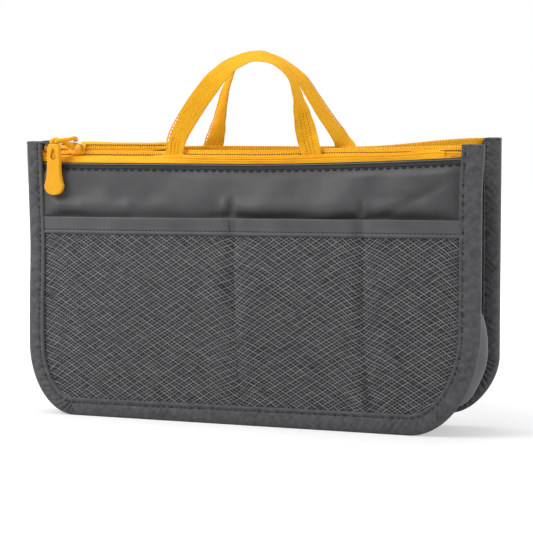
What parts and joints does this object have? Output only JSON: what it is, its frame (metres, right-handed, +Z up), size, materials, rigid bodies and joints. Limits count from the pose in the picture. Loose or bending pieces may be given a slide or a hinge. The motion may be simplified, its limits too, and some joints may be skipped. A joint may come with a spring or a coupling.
{
  "type": "purse organizer insert",
  "caption": "Stiffened nylon pouch insert for a handbag with mesh outer pockets, bound edges, folding side gusset, open coil zip along the mouth and webbing loop handles.",
  "frame": {"origin": "bottom centre of the overall box, on the surface that the bound edges stand on", "axes": "+X to the right along the wall, -Y out of the front wall, +Z up to the handles"},
  "size_m": [0.29, 0.0538, 0.2238],
  "materials": {
    "nylon": "fine crinkled nylon",
    "lining": "plain woven lining",
    "foam": "sheet foam padding",
    "mesh": "knitted mesh",
    "binding": "folded grosgrain binding",
    "webbing": "ribbed webbing",
    "coil": "nylon zip coil",
    "enamel": "gloss enamel",
    "steel": "bright plated wire",
    "moulded": "soft moulded plastic"
  },
  "bodies": {
    "pouch": {"front_shell": "nylon", "front_stiffener": "foam", "front_lining": "lining", "front_inner_pocket": "lining", "front_mesh_pocket": "mesh", "front_pocket_hem": "binding", "front_binding": "binding", "front_zip_tape": "webbing", "front_zip_coil": "coil", "front_facing_tape": "webbing", "front_handle_left_end": "webbing", "front_handle_right_end": "webbing", "rear_shell": "nylon", "rear_stiffener": "foam", "rear_lining": "lining", "rear_inner_pocket": "lining", "rear_mesh_pocket": "mesh", "rear_pocket_hem": "binding", "rear_binding": "binding", "rear_zip_tape": "webbing", "rear_zip_coil": "coil", "rear_facing_tape": "webbing", "rear_handle_left_end": "webbing", "rear_handle_right_end": "webbing", "gusset": "nylon"},
    "slider": {"zip_slider": "enamel", "slider_bridge": "steel"},
    "pull": {"pull_cord": "webbing", "pull_grip": "moulded"},
    "front_loop": {"front_handle": "webbing"},
    "rear_loop": {"rear_handle": "webbing"}
  },
  "joints": [
    {"name": "slider_slide", "type": "slide", "parent": "pouch", "child": "slider", "axis": [1, 0, 0], "range_m": [0, 0.045]},
    {"name": "pull_swing", "type": "hinge", "parent": "slider", "child": "pull", "pos_m": [-0.116, -0.00705, 0.16813], "axis": [-1, 0, 0], "range_deg": [0, 100]},
    {"name": "front_handle_fold", "type": "hinge", "parent": "pouch", "child": "front_loop", "pos_m": [-0.0055, -0.009, 0.1619], "axis": [0.9991, -0.0423, 0.0065], "range_deg": [0, 140]},
    {"name": "rear_handle_fold", "type": "hinge", "parent": "pouch", "child": "rear_loop", "pos_m": [0.0131, 0.01035, 0.16315], "axis": [-0.9998, -0.02, 0.0071], "range_deg": [0, 140]}
  ]
}
